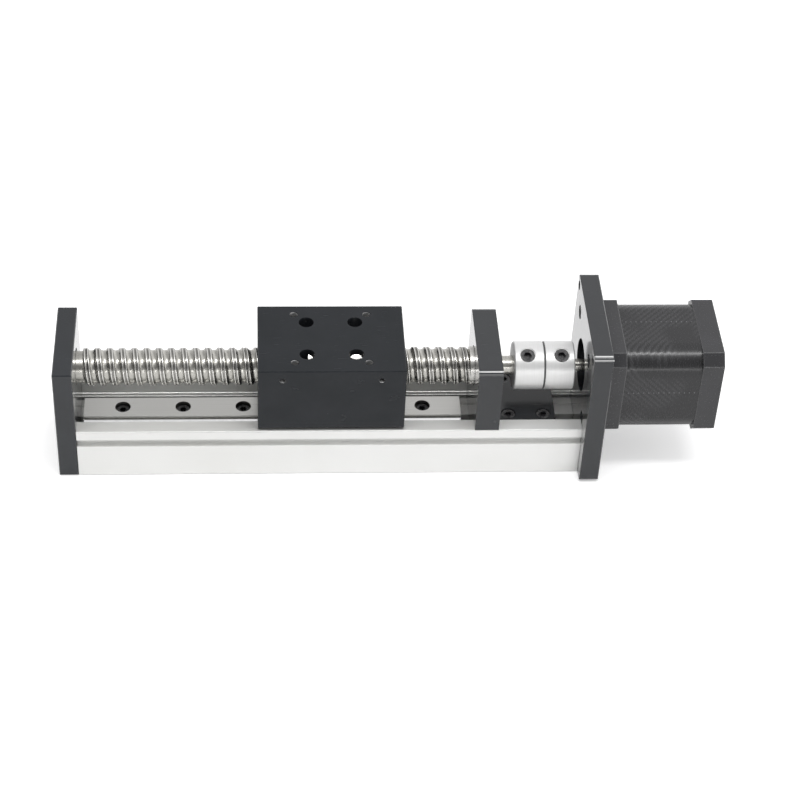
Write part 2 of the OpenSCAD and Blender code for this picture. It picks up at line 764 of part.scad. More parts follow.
// Point m of the track's section on meridian a, counted along the helix
function thread_point(a, m) =
    let (f = track_angles[m % 5], r = track_r - track_section_r*cos(f), s = 360*a/thread_steps)
    [thread_start + lead*(a/thread_steps + floor(m/5)) + track_section_r*sin(f), r*cos(s), r*sin(s)];

// Threaded rod with a right-hand round-bottomed track, longer than the screw needs
module thread() {
    last = 5*(ceil((thread_x1 - thread_x0)/lead) + 3);
    n = thread_steps;
    function at(a, m) = a < n ? a*(last + 1) + m : m + 5;
    points = [for (a = [0:n-1]) for (m = [0:last]) thread_point(a, m)];
    ends = [[thread_x0 - lead, 0, 0], [thread_x1 + lead, 0, 0]];
    hub = len(points);
    side = [for (a = [0:n-1]) for (m = [0:last-1]) if (a < n-1 || m < last - 5) each [
        [at(a, m), at(a, m+1), at(a+1, m+1)],
        [at(a, m), at(a+1, m+1), at(a+1, m)]
    ]];
    loop0 = concat([for (a = [0:n-1]) at(a, 0)], [for (m = [5:-1:1]) at(0, m)]);
    loop1 = concat([for (a = [0:n-1]) at(a, last)], [for (m = [last-1:-1:last-5]) at(n-1, m)]);
    count = len(loop0);
    cap0 = [for (i = [0:count-1]) [hub, loop0[i], loop0[(i+1) % count]]];
    cap1 = [for (i = [0:count-1]) [hub + 1, loop1[(i+1) % count], loop1[i]]];
    polyhedron(concat(points, ends), concat(side, cap0, cap1));
}

module ball_screw() color("silver") translate([0, 0, screw_z]) {
    intersection() {
        thread();
        bar_x(thread_x0, thread_x1, screw_d + 2);
    }
    // floating end
    bar_x(x_left - floating_w, x_left, journal_d);
    bar_x(x_left, thread_x0 + 1, neck_d);
    // fixed and driven end
    bar_x(thread_x1, block_x0, screw_d + 2*runout_step);
    bar_x(block_x0, fixed_x0, shoulder_d);
    bar_x(fixed_x0, fixed_x1, journal_d);
    bar_x(fixed_x1, fixed_x1 + ring_t, journal_d - 2*ring_groove);
    bar_x(fixed_x1 + ring_t, block_x1 + 0.4, journal_d);
    bar_x(block_x1 + 0.4, drive_end_x, drive_end_d);
}

// ---------------------------------------------------------------- ball nut

module ball_nut() color("silver") translate([0, 0, screw_z]) difference() {
    bar_x(nut_x0, nut_x1, nut_d);
    bar_x(nut_x0 - eps, nut_x1 + eps, screw_d + 2*nut_gap);
    // recirculation space of the balls
    bar_x(nut_cavity_x0, nut_cavity_x1, 2*nut_cavity_r);
    // seats of the wipers
    bar_x(nut_x0 - eps, nut_x0 + wiper_t, wiper_d);
    bar_x(nut_x1 - wiper_t, nut_x1 + eps, wiper_d);
    // dimples of the lock screws
    for (x = lock_screw_x) translate([x, nut_d/2 - lock_dimple, 0]) rotate([-90, 0, 0])
        cylinder(h = 2, d = lock_screw_d - 1);
}

// Balls in the track: the track's groove passes meridian s at phase s/360 of a turn
module nut_balls() color("white") translate([0, 0, screw_z]) {
    count = nut_turns*balls_per_turn;
    for (i = [0:count-1]) {
        s = 360*i/balls_per_turn;
        translate([nut_ball_x0 + lead*i/balls_per_turn, track_r*cos(s), track_r*sin(s)])
            sphere(d = nut_ball_d);
    }
}

module nut_wipers() color("#333333") translate([0, 0, screw_z]) {
    for (x = [nut_x0, nut_x1 - wiper_t]) difference() {
        bar_x(x, x + wiper_t, wiper_d);
        bar_x(x - eps, x + wiper_t + eps, screw_d + 2*nut_gap);
    }
}

module nut_retaining_ring() color("gray")
    translate([0, 0, screw_z])
        snap_ring(nut_x1, nut_d/2 + ring_groove - ring_width, nut_d/2 + ring_groove, ring_opening);

// Set screws through the carriage's rear side into the nut's dimples
module nut_lock_screws() color("#222222") {
    tip = 0.8;
    y0 = nut_d/2 - lock_dimple + 0.1;
    length = carriage_w/2 - 0.8 - y0;
    for (x = lock_screw_x) translate([x, y0, screw_z]) rotate([-90, 0, 0]) difference() {
        union() {
            cylinder(h = length/2, d = lock_screw_d - 1.1);
            translate([0, 0, tip]) cylinder(h = length - tip, d = lock_screw_d);
        }
        translate([0, 0, length - 2]) cylinder(h = 3, d = lock_screw_d/2/cos(30), $fn = 6);
    }
}

// ---------------------------------------------------------------- carriage

// Section of the carriage in Y and Z: wings over the strips and a pad on the guide
module carriage_section() {
    w = carriage_w/2;
    c = carriage_edge;
    f = carriage_foot_edge;
    pad = guide_w/2;
    polygon([
        [-pad, guide_z1], [pad, guide_z1], [pad, wing_z], [w - f, wing_z], [w, wing_z + f],
        [w, carriage_z1 - c], [w - c, carriage_z1], [c - w, carriage_z1], [-w, carriage_z1 - c],
        [-w, wing_z + f], [f - w, wing_z], [-pad, wing_z]
    ]);
}

module carriage_block() color("dimgray") difference() {
    intersection() {
        along_x(-carriage_l/2, carriage_l/2) carriage_section();
        translate([-carriage_l/2, -carriage_w/2, guide_z1 - 1])
            chamfered_box([carriage_l, carriage_w, carriage_z1 - guide_z1 + 1], carriage_edge);
    }
    translate([0, 0, screw_z]) {
        // bore of the nut from the motor side, and the screw's way through
        bar_x(nut_x0, carriage_l/2 + eps, nut_d + 2*nut_bore_gap);
        bar_x(-carriage_l/2 - eps, nut_x0, screw_d + 2*carriage_screw_room);
        bar_x(nut_x1, nut_x1 + ring_t + 0.1, nut_d + 2*ring_groove + 0.2);
    }
    for (p = access_xy) translate([p.x, p.y, carriage_seat_z]) {
        cylinder(h = carriage_z1, d = access_d);
        translate([0, 0, -2*carriage_seat_t]) cylinder(h = 3*carriage_seat_t, d = m3_d + 2*hole_gap);
    }
    for (x = [-1, 1]) for (y = [-1, 1])
        translate([x*mount_pitch/2, y*mount_pitch/2, carriage_z1 - mount_hole_depth])
            cylinder(h = mount_hole_depth + eps, d = mount_hole_d);
    for (x = [-1, 1])
        translate([x*side_hole_pitch/2, side_hole_depth - carriage_w/2, carriage_z1 - side_hole_drop])
            rotate([90, 0, 0]) cylinder(h = side_hole_depth + eps, d = side_hole_d);
    for (x = lock_screw_x) translate([x, 0, screw_z]) rotate([-90, 0, 0])
        cylinder(h = carriage_w, d = lock_screw_d + 2*thread_gap);
}

module carriage_screws() color("#222222")
    for (p = access_xy) translate([p.x, p.y, carriage_seat_z])
        m3_screw(carriage_seat_t + guide_screw_reach);

// ---------------------------------------------------------------- coupling

// One hub along X from x = 0, with its key slot in the far face
module coupling_hub(bore, slot_turn) {
    difference() {
        rotate([0, 90, 0]) rotate_extrude() difference() {
            translate([0, 0]) square([coupling_d/2, hub_l]);
            translate([coupling_d/2, 0]) rotate(45) square(0.6, center = true);
        }
        bar_x(-eps, hub_l + eps, bore);
        rotate([slot_turn, 0, 0]) translate([hub_l - key_h - 0.2, -key_l/2 - 0.1, -key_w/2 - 0.05])
            cube([key_h + 1, key_l + 0.2, key_w + 0.1]);
        translate([hub_l*0.45, 0, 0]) rotate([90 - set_screw_angle, 0, 0]) {
            cylinder(h = coupling_d, d = set_screw_d + 2*thread_gap);
            translate([0, 0, coupling_d/2 - set_screw_sink + 0.2]) cylinder(h = 2, d = set_screw_d + 0.6);
        }
    }
}

module coupling_screw_hub() color("gainsboro")
    translate([coupling_x0, 0, screw_z]) coupling_hub(drive_end_d, 0);

module coupling_motor_hub() color("gainsboro")
    translate([coupling_x1, 0, screw_z]) mirror([1, 0, 0]) coupling_hub(shaft_d, 90);

module coupling_insert() color("#3a3340")
    translate([coupling_x0 + hub_l, 0, screw_z]) {
        bar_x(0, insert_t, coupling_d - 0.6);
        translate([-key_h, -key_l/2, -key_w/2]) cube([key_h + insert_t/2, key_l, key_w]);
        translate([insert_t/2, -key_w/2, -key_l/2]) cube([key_h + insert_t/2, key_w, key_l]);
    }

// One set screw from the shaft's surface outwards
module set_screw(r0) {
    length = coupling_d/2 - set_screw_sink - r0;
    translate([0, 0, r0]) difference() {
        cylinder(h = length, d = set_screw_d);
        translate([0, 0, length - 2]) cylinder(h = 3, d = set_screw_hex/cos(30), $fn = 6);
    }
}

module coupling_set_screws() color("#222222") {
    for (end = [[coupling_x0, 1, drive_end_d], [coupling_x1, -1, shaft_d]])
        translate([end[0] + end[1]*hub_l*0.45, 0, screw_z])
            rotate([90 - set_screw_angle, 0, 0]) set_screw(end[2]/2);
}

// ------------------------------------------------------------------- motor

// Square outline of the end caps with chamfered corners, about the axis
module cap_outline() {
    translate([-motor_w/2, -motor_w/2]) chamfered(motor_w, motor_w, cap_chamfer);
}

module motor_front_cap() color("#2b2b2b") translate([0, 0, screw_z]) difference() {
    union() {
        along_x(motor_face_x, stack_x0) cap_outline();
        bar_x(motor_face_x - pilot_h, motor_face_x + 1, pilot_d);
    }
    bar_x(motor_face_x - pilot_h - eps, stack_x0, shaft_d + 4);
    bar_x(front_bearing_x, stack_x0 + eps, motor_bearing_od);
    translate([motor_face_x, 0, -screw_z]) motor_screw_places() {
        translate([0, 0, -eps]) cylinder(h = mount_screw_reach + 0.3 + eps, d = m3_d + 2*thread_gap);
        translate([0, 0, front_cap_l - tie_screw_reach - 0.3])
            cylinder(h = tie_screw_reach + 1, d = m3_d + 2*thread_gap);
    }
}

module motor_stack() color("#303030") translate([0, 0, screw_z]) difference() {
    along_x(stack_x0, stack_x1) rounded(motor_w - stack_inset, motor_w - stack_inset, stack_r);
    bar_x(stack_x0 - eps, stack_x1 + eps, rotor_d + 2*rotor_gap);
    translate([stack_x0 - eps, 0, -screw_z]) motor_screw_places()
        cylinder(h = stack_l + 2*eps, d = m3_d + 2*hole_gap);
}

module motor_rear_cap() color("#2b2b2b") translate([0, 0, screw_z]) difference() {
    along_x(stack_x1, motor_x1) cap_outline();
    bar_x(stack_x1 - eps, rear_bearing_x + motor_bearing_w, motor_bearing_od);
    translate([motor_x1 - m3_bore_depth, 0, -screw_z]) motor_screw_places()
        m3_hole(rear_cap_l, hole_gap, m3_bore_depth);
    // seat of the connector
    translate([connector_x0 - connector_gap, motor_w/2 - connector_seat, -connector_w/2 - connector_gap])
        cube([connector_l + 2*connector_gap, connector_h, connector_w + 2*connector_gap]);
}

// Six-way plug socket on the motor's rear side, open away from the motor
module motor_connector() color("ivory")
    translate([connector_x0, motor_w/2 - connector_seat, screw_z]) {
        inner_l = connector_l - 2*connector_wall;
        inner_w = connector_w - 2*connector_wall;
        floor_h = 2*connector_wall;
        difference() {
            translate([0, 0, -connector_w/2]) cube([connector_l, connector_h, connector_w]);
            translate([connector_wall, floor_h, -inner_w/2]) cube([inner_l, connector_h, inner_w]);
        }
        for (i = [0:5]) translate([connector_l/2, floor_h - 0.1, (i - 2.5)*pin_pitch - pin_w/2])
            cube([pin_w, connector_h - floor_h - connector_wall, pin_w]);
    }

module motor_mount_screws() color("#222222")
    translate([x_right + m3_bore_depth, 0, 0]) motor_screw_places()
        mirror([0, 0, 1]) m3_screw(motor_plate_t - m3_bore_depth + mount_screw_reach);

module motor_tie_screws() color("#222222")
    translate([motor_x1 - m3_bore_depth, 0, 0]) motor_screw_places()
        m3_screw(rear_cap_l - m3_bore_depth + stack_l + tie_screw_reach);

module motor_shaft() color("silver") translate([0, 0, screw_z])
    bar_x(motor_face_x - shaft_l, rear_bearing_x + motor_bearing_w, shaft_d);

// Toothed rotor on the shaft, in two cups with the magnet between them
module motor_rotor() color("gray") translate([0, 0, screw_z]) difference() {
    cup = (stack_l - 3)/2 - 1;
    union() {
        bar_x(stack_x0 + 1.5, stack_x0 + 1.5 + cup, rotor_d);
        bar_x(stack_x0 + 1.5, stack_x1 - 1.5, rotor_d - 2);
        bar_x(stack_x1 - 1.5 - cup, stack_x1 - 1.5, rotor_d);
    }
    bar_x(stack_x0, stack_x1, shaft_d);
}

base_profile();
end_plate();
end_plate_screws();
motor_plate();
motor_plate_screws();
bearing_block();
bearing_block_screws();
linear_rail();
rail_screws();
rail_nuts();
floating_bearing_outer();
floating_bearing_inner();
floating_bearing_balls();
fixed_bearing_outer();
fixed_bearing_inner();
fixed_bearing_balls();
bore_retaining_ring();
shaft_retaining_ring();
ball_screw();
ball_nut();
nut_balls();
nut_wipers();
nut_retaining_ring();
nut_lock_screws();
carriage_block();
carriage_screws();
guide_block();
guide_end_caps();
guide_end_seals();
guide_balls();
coupling_screw_hub();
coupling_motor_hub();
coupling_insert();
coupling_set_screws();
motor_front_cap();
motor_stack();
motor_rear_cap();
motor_connector();
motor_mount_screws();
motor_tie_screws();
motor_shaft();
motor_rotor();
motor_bearing_outers();
motor_bearing_inners();
motor_bearing_balls();
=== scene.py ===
import json
import math

import bmesh
import bpy
from mathutils import Matrix, Vector

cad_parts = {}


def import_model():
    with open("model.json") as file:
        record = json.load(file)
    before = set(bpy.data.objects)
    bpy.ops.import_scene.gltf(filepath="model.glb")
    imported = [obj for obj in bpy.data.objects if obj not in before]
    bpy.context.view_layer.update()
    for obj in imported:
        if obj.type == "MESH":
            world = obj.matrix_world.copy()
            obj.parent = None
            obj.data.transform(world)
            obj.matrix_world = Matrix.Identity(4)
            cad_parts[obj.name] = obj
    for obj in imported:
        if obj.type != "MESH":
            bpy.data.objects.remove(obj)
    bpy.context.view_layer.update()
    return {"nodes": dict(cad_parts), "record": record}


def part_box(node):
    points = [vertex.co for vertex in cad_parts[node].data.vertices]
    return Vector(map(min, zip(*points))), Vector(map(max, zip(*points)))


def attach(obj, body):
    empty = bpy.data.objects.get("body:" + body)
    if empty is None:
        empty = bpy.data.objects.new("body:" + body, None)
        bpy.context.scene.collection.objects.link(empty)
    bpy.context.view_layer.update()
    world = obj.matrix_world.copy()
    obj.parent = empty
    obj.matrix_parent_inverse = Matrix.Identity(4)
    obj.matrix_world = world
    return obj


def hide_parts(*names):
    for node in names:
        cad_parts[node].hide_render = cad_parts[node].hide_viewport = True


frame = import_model()
NODES = frame["nodes"]
scene = bpy.context.scene
MM = 0.001


def extent(node):
    """Lowest and highest corner of a CAD node, in millimetres."""
    low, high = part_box(node)
    return low / MM, high / MM


SCREW_LOW, SCREW_HIGH = extent("ball_screw")
AXIS_Z = (SCREW_LOW.z + SCREW_HIGH.z) / 2
PROFILE_LOW, PROFILE_HIGH = extent("base_profile")
BLOCK_LOW = extent("bearing_block")[0]
STACK_LOW, STACK_HIGH = extent("motor_stack")
RAIL_LOW, RAIL_HIGH = extent("linear_rail")

# Sizes of the ball screw in millimetres; all but the runout are the CAD's
LEAD = 5.0
CREST_R = 7.8         # outside radius of the thread
TRACK_DEPTH = 1.04    # depth of the track below the crest
TRACK_SECTION = 1.65  # radius of the track's round section
TRACK_R = CREST_R - TRACK_DEPTH + TRACK_SECTION  # radius at which the balls' centres run
TRACK_PHASE = 0.037   # offset of the track along the screw
NECK_L = 3.0          # plain neck at the left of the thread
NECK_R = 6.6
RUNOUT_L = 1.8        # plain stretch between the thread and the bearing block
SHOULDER_R = 6.5      # shoulder against the fixed bearing
JOURNAL_R = 5.0       # seats of both bearings
GROOVE_R = 4.5        # bottom of the retaining ring's groove
DRIVE_R = 4.0         # end that the coupling holds
BLOCK_T = 10.0        # thickness of the bearing block's upright


# ------------------------------------------------------------ shader nodes

class Mat:
    """A Principled material with short calls for its nodes."""

    def __init__(self, name, base, metallic, rough, **sockets):
        self.mat = bpy.data.materials.new(name)
        self.mat.use_nodes = True
        self.tree = self.mat.node_tree
        self.shader = self.tree.nodes["Principled BSDF"]
        self.shader.inputs["Base Color"].default_value = (*base, 1.0)
        self.shader.inputs["Metallic"].default_value = metallic
        self.shader.inputs["Roughness"].default_value = rough
        for key, value in sockets.items():
            self.shader.inputs[key.replace("_", " ")].default_value = value
        self.normal = None

    def add(self, kind, **props):
        node = self.tree.nodes.new(kind)
        for key, value in props.items():
            setattr(node, key, value)
        return node

    def put(self, value, socket):
        """Links an output to a socket, or writes a plain value on it."""
        if isinstance(value, bpy.types.NodeSocket):
            self.tree.links.new(value, socket)
        elif isinstance(value, tuple) and len(value) == 3 and socket.type == "RGBA":
            socket.default_value = (*value, 1.0)
        else:
            socket.default_value = value

    def coords(self, scale=(1, 1, 1), turn=(0, 0, 0)):
        place = self.add("ShaderNodeTexCoord")
        mapping = self.add("ShaderNodeMapping")
        mapping.inputs["Scale"].default_value = scale
        mapping.inputs["Rotation"].default_value = [math.radians(a) for a in turn]
        self.put(place.outputs["Object"], mapping.inputs["Vector"])
        return mapping.outputs["Vector"]

    def noise(self, vector, scale=1.0, detail=3.0, rough=0.55):
        node = self.add("ShaderNodeTexNoise")
        node.inputs["Scale"].default_value = scale
        node.inputs["Detail"].default_value = detail
        node.inputs["Roughness"].default_value = rough
        self.put(vector, node.inputs["Vector"])
        return node.outputs["Fac"]

    def bands(self, vector, period, axis="X", distortion=0.0):
        """Sine bands of the given period in metres, counted along X for slanting bands."""
        node = self.add("ShaderNodeTexWave", wave_type="BANDS", bands_direction=axis)
        node.inputs["Scale"].default_value = 2 * math.pi / ((10 if axis == "DIAGONAL" else 20) * period)
        node.inputs["Distortion"].default_value = distortion
        self.put(vector, node.inputs["Vector"])
        return node.outputs["Fac"]

    def remap(self, value, a, b, low, high):
        node = self.add("ShaderNodeMapRange", clamp=True)
        for i, v in enumerate((value, a, b, low, high)):
            self.put(v, node.inputs[i])
        return node.outputs[0]

    def math(self, operation, a, b=0.0):
        node = self.add("ShaderNodeMath", operation=operation)
        self.put(a, node.inputs[0])
        self.put(b, node.inputs[1])
        return node.outputs[0]

    def split(self, vector):
        """The X, Y and Z outputs of a vector."""
        node = self.add("ShaderNodeSeparateXYZ")
        self.put(vector, node.inputs[0])
        return node.outputs

    def mix(self, factor, a, b):
        node = self.add("ShaderNodeMix", data_type="RGBA")
        self.put(factor, node.inputs[0])
        self.put(a, node.inputs[6])
        self.put(b, node.inputs[7])
        return node.outputs[2]

    def color(self, output):
        self.put(output, self.shader.inputs["Base Color"])

    def rough(self, output):
        self.put(output, self.shader.inputs["Roughness"])

    def bump(self, height, distance, strength=1.0):
        node = self.add("ShaderNodeBump")
        node.inputs["Distance"].default_value = distance
        node.inputs["Strength"].default_value = strength
        self.put(height, node.inputs["Height"])
        if self.normal is not None:
            self.put(self.normal, node.inputs["Normal"])
        self.normal = node.outputs["Normal"]
        self.put(self.normal, self.shader.inputs["Normal"])

    def round_edges(self, radius):
        node = self.add("ShaderNodeBevel", samples=4)
        node.inputs["Radius"].default_value = radius
        self.normal = node.outputs["Normal"]
        self.put(self.normal, self.shader.inputs["Normal"])

    def radius(self):
        """Distance from the screw's axis, in metres."""
        place = self.split(self.coords())
        height = self.math("SUBTRACT", place["Z"], AXIS_Z * MM)
        across_2 = self.math("POWER", place["Y"], 2.0)
        height_2 = self.math("POWER", height, 2.0)
        return self.math("SQRT", self.math("ADD", across_2, height_2))

    def corners(self, low, high):
        """1 beside sharp edges, where the rounded normal leans away from the flat one."""
        geometry = self.add("ShaderNodeNewGeometry")
        lean = self.add("ShaderNodeVectorMath", operation="DOT_PRODUCT")
        self.put(self.normal, lean.inputs[0])
        self.put(geometry.outputs["True Normal"], lean.inputs[1])
        return self.remap(lean.outputs["Value"], low, high, 1.0, 0.0)

    def edges(self, low, high):
        """0 on flats and 1 on sharp outer edges."""
        geometry = self.add("ShaderNodeNewGeometry")
        return self.remap(geometry.outputs["Pointiness"], low, high, 0.0, 1.0)


# --------------------------------------------------------------- materials

def clear_anodised():
    """Extruded aluminium: faint lines along the profile under a satin oxide."""
    m = Mat("clear_anodised_aluminium", (0.84, 0.84, 0.83), 0.5, 0.3)
    m.round_edges(0.0004)
    die = m.noise(m.coords((2, 1400, 1400)), 1.0, 4.0, 0.6)
    fine = m.noise(m.coords((40, 6000, 6000)), 1.0, 2.0)
    cloud = m.noise(m.coords(), 14.0)
    m.color(m.mix(m.remap(cloud, 0.35, 0.65, 0, 1), (0.82, 0.82, 0.80), (0.87, 0.87, 0.855)))
    m.rough(m.remap(die, 0.3, 0.7, 0.30, 0.40))
    m.bump(m.math("ADD", die, m.math("MULTIPLY", fine, 0.4)), 0.000006, 0.5)
    return m.mat


def black_anodised(name, dark, light, coat, node=None, lines=()):
    """Machined aluminium with a black oxide: cutter lines, slow clouding and a fine grain; given a node,
    painted highlight lines along its upper front corner.
    """
    m = Mat(name, dark, 0.0, 0.22, IOR=1.32, Coat_Weight=coat, Coat_Roughness=0.1, Coat_IOR=1.32)
    m.round_edges(0.0003)
    cloud = m.noise(m.coords(), 60.0)
    cut = m.noise(m.coords((120, 2500, 160)), 1.0, 3.0, 0.6)
    grain = m.noise(m.coords(), 9000.0, 1.0)
    oxide = m.mix(m.remap(cloud, 0.3, 0.7, 0, 1), dark, light)
    # painted highlight lines along the node's upper front corner, when a node is given
    m.color(painted_corner_highlights(m, node, oxide, lines) if node else oxide)
    m.rough(m.remap(cut, 0.3, 0.7, 0.18, 0.28))
    m.bump(m.math("ADD", m.math("MULTIPLY", cut, 0.2), grain), 0.000004, 0.5)
    return m.mat


CORNER_REACH = 4.0    # how far behind a node's front the painted highlight lines run
LINE_HALF = 0.2       # half the width of a painted highlight line
LINE_FADE = 0.6       # distance from a line's middle at which it has faded out
# near-white colour of the painted highlight lines
PAINTED_HIGHLIGHT_COLOR = (0.88, 0.88, 0.87)


def painted_corner_highlights(m, node, oxide, lines):
    """Painted highlight lines along a node's upper front corner, as (millimetres down over it, strength).
    """
    low, high = extent(node)
    spot = m.split(m.coords())
    across = m.math("ADD", spot["Y"], spot["Z"])
    down = m.math("SUBTRACT", (high.z + low.y) * MM, across)
    facing = m.split(m.add("ShaderNodeNewGeometry").outputs["True Normal"])
    flank = m.math("LESS_THAN", m.math("ABSOLUTE", facing["X"]), 0.5)
    near = m.math("LESS_THAN", spot["Y"], (low.y + CORNER_REACH) * MM)
    here = m.math("MULTIPLY", flank, near)
    color = oxide
    for place, strength in lines:
        off = m.math("ABSOLUTE", m.math("SUBTRACT", down, place * MM))
        faded = m.remap(off, LINE_HALF * MM, LINE_FADE * MM, strength, 0.0)
        # mixes in one painted highlight line
        color = m.mix(m.math("MULTIPLY", faded, here), color, PAINTED_HIGHLIGHT_COLOR)
    return color


def ground_steel(name, base, rough, stretch, depth=0.000002, contrast=0.08):
    """Ground or turned steel, with fine lines along the long axis of stretch."""
    m = Mat(name, base, 1.0, rough)
    m.round_edges(0.0001)
    brush = m.noise(m.coords(stretch), 1.0, 5.0, 0.65)
    cloud = m.noise(m.coords(), 40.0)
    dark = tuple(c * (1 - contrast) for c in base)
    m.color(m.mix(m.remap(brush, 0.35, 0.65, 0, 1), dark, base))
    m.rough(m.math("ADD", m.remap(brush, 0.3, 0.7, rough - 0.03, rough + 0.04),
                   m.remap(cloud, 0.3, 0.7, 0.0, 0.05)))
    m.bump(brush, depth, 0.8)
    return m.mat


VALLEY_DEPTH = (0.6, 0.3)    # below the crest, where the painted shade of the track's valley turns into the darker painted shade of its shoulder
CREST_DEPTH = (0.12, 0.04)   # below the crest, where the shoulder's painted shade turns into the polished crest


def screw_steel():
    """Rolled thread: valleys darkened with painted shade and slight stains, shoulders darker still with
    painted shade, and polished crests.
    """
    m = Mat("screw_steel", (0.66, 0.65, 0.61), 1.0, 0.26)
    turned = m.noise(m.coords((5200, 60, 60)))
    mottle = m.noise(m.coords(), 700.0, 2.0, 0.5)
    stain = m.noise(m.coords(), 260.0)
    radius = m.radius()
    valley_low, valley_high = ((CREST_R - depth) * MM for depth in VALLEY_DEPTH)
    crest_low, crest_high = ((CREST_R - depth) * MM for depth in CREST_DEPTH)
    # painted shade: valleys get a darker colour than the crest, with random stains; shoulders get a
    # darker one still
    shaded_valley = m.mix(m.remap(stain, 0.4, 0.7, 0, 1), (0.52, 0.51, 0.475), (0.44, 0.43, 0.40))
    shaded_shoulder = m.mix(m.remap(radius, valley_low, valley_high, 0.0, 1.0), shaded_valley, (0.25, 0.245, 0.23))
    m.color(m.mix(m.remap(radius, crest_low, crest_high, 0.0, 1.0), shaded_shoulder, (0.70, 0.69, 0.66)))
    m.rough(m.math("ADD", m.remap(mottle, 0.3, 0.7, 0.22, 0.30), m.remap(turned, 0.3, 0.7, 0, 0.03)))
    m.bump(turned, 0.000002, 0.15)
    return m.mat


def bright_aluminium():
    """Turned aluminium with a thin clear oxide."""
    m = Mat("bright_aluminium", (0.80, 0.80, 0.795), 0.5, 0.34)
    m.round_edges(0.0002)
    turned = m.noise(m.coords((5600, 35, 35)), 1.0, 4.0, 0.6)
    cloud = m.noise(m.coords(), 150.0, 2.0)
    m.color(m.mix(m.remap(turned, 0.3, 0.7, 0, 1), (0.74, 0.74, 0.73), (0.82, 0.82, 0.815)))
    m.rough(m.math("ADD", m.remap(turned, 0.3, 0.7, 0.30, 0.40), m.remap(cloud, 0.3, 0.7, 0, 0.05)))
    m.bump(turned, 0.000004, 0.7)
    return m.mat


def black_oxide():
    """Blackened fasteners, rubbed bright along their sharp edges."""
    m = Mat("fastener_steel", (0.02, 0.02, 0.022), 0.0, 0.3)
    m.round_edges(0.0002)
    spot = m.noise(m.coords(), 900.0, 4.0)
    wear = m.math("MULTIPLY", m.edges(0.58, 0.7), m.remap(spot, 0.35, 0.6, 0.1, 0.8))
    m.color(m.mix(wear, (0.014, 0.014, 0.016), (0.26, 0.255, 0.25)))
    m.rough(m.remap(spot, 0.3, 0.7, 0.20, 0.36))
    m.bump(spot, 0.00001, 0.4)
    return m.mat


def motor_cap():
    """Cast and painted end caps of the motor, with a painted highlight along their sharp edges."""
    m = Mat("motor_cap_aluminium", (0.03, 0.03, 0.032), 0.0, 0.3)
    m.round_edges(0.0006)
    cast = m.noise(m.coords(), 1500.0)
    cloud = m.noise(m.coords(), 90.0, 2.0)
    # painted highlight: the paint is lightened towards grey beside sharp edges
    painted_edge_highlight = m.math("MULTIPLY", m.corners(0.93, 0.995), 0.14)
    paint = m.mix(m.remap(cloud, 0.3, 0.7, 0, 1), (0.029, 0.029, 0.031), (0.036, 0.036, 0.039))
    m.color(m.mix(painted_edge_highlight, paint, (0.8, 0.8, 0.8)))
    m.rough(m.remap(cast, 0.3, 0.7, 0.19, 0.29))
    m.bump(cast, 0.000003, 0.5)
    return m.mat


SHEET_T = 0.5         # thickness of the motor's laminations
MARK_PERIOD = 2.8     # distance between the slanting marks, along the motor


def laminations():
    """Painted sheets on edge, with patches of slanting punch marks."""
    m = Mat("lamination_steel", (0.026, 0.026, 0.027), 0.1, 0.24)
    sheets = m.bands(m.coords(), SHEET_T * MM, "X", 0.3)
    slant = m.bands(m.coords((1, -1, 1)), MARK_PERIOD * MM, "DIAGONAL", 0.15)
    patch = m.remap(m.noise(m.coords(), 50.0, 1.0), 0.44, 0.54, 0.0, 1.0)
    ragged = m.noise(m.coords((2600, 900, 900)), 1.0, 2.0)
    marks = m.math("MULTIPLY", slant, patch)
    m.color(m.mix(marks, (0.022, 0.022, 0.023), (0.042, 0.042, 0.044)))
    m.rough(m.remap(ragged, 0.3, 0.7, 0.16, 0.32))
    m.bump(m.math("ADD", sheets, m.math("MULTIPLY", ragged, 0.8)), 0.000008, 0.7)
    m.bump(marks, 0.00008, 0.6)
    return m.mat


def plastic(name, base, rough):
    """Moulded plastic or rubber with a fine grain."""
    m = Mat(name, base, 0.0, rough)
    m.round_edges(0.0002)
    grain = m.noise(m.coords(), 1800.0)
    cloud = m.noise(m.coords(), 120.0, 2.0)
    dark = tuple(c * 0.88 for c in base)
    light = tuple(min(1.0, c * 1.1) for c in base)
    m.color(m.mix(m.remap(cloud, 0.3, 0.7, 0, 1), dark, light))
    m.rough(m.remap(grain, 0.3, 0.7, rough - 0.06, rough + 0.08))
    m.bump(grain, 0.00001, 0.5)
    return m.mat


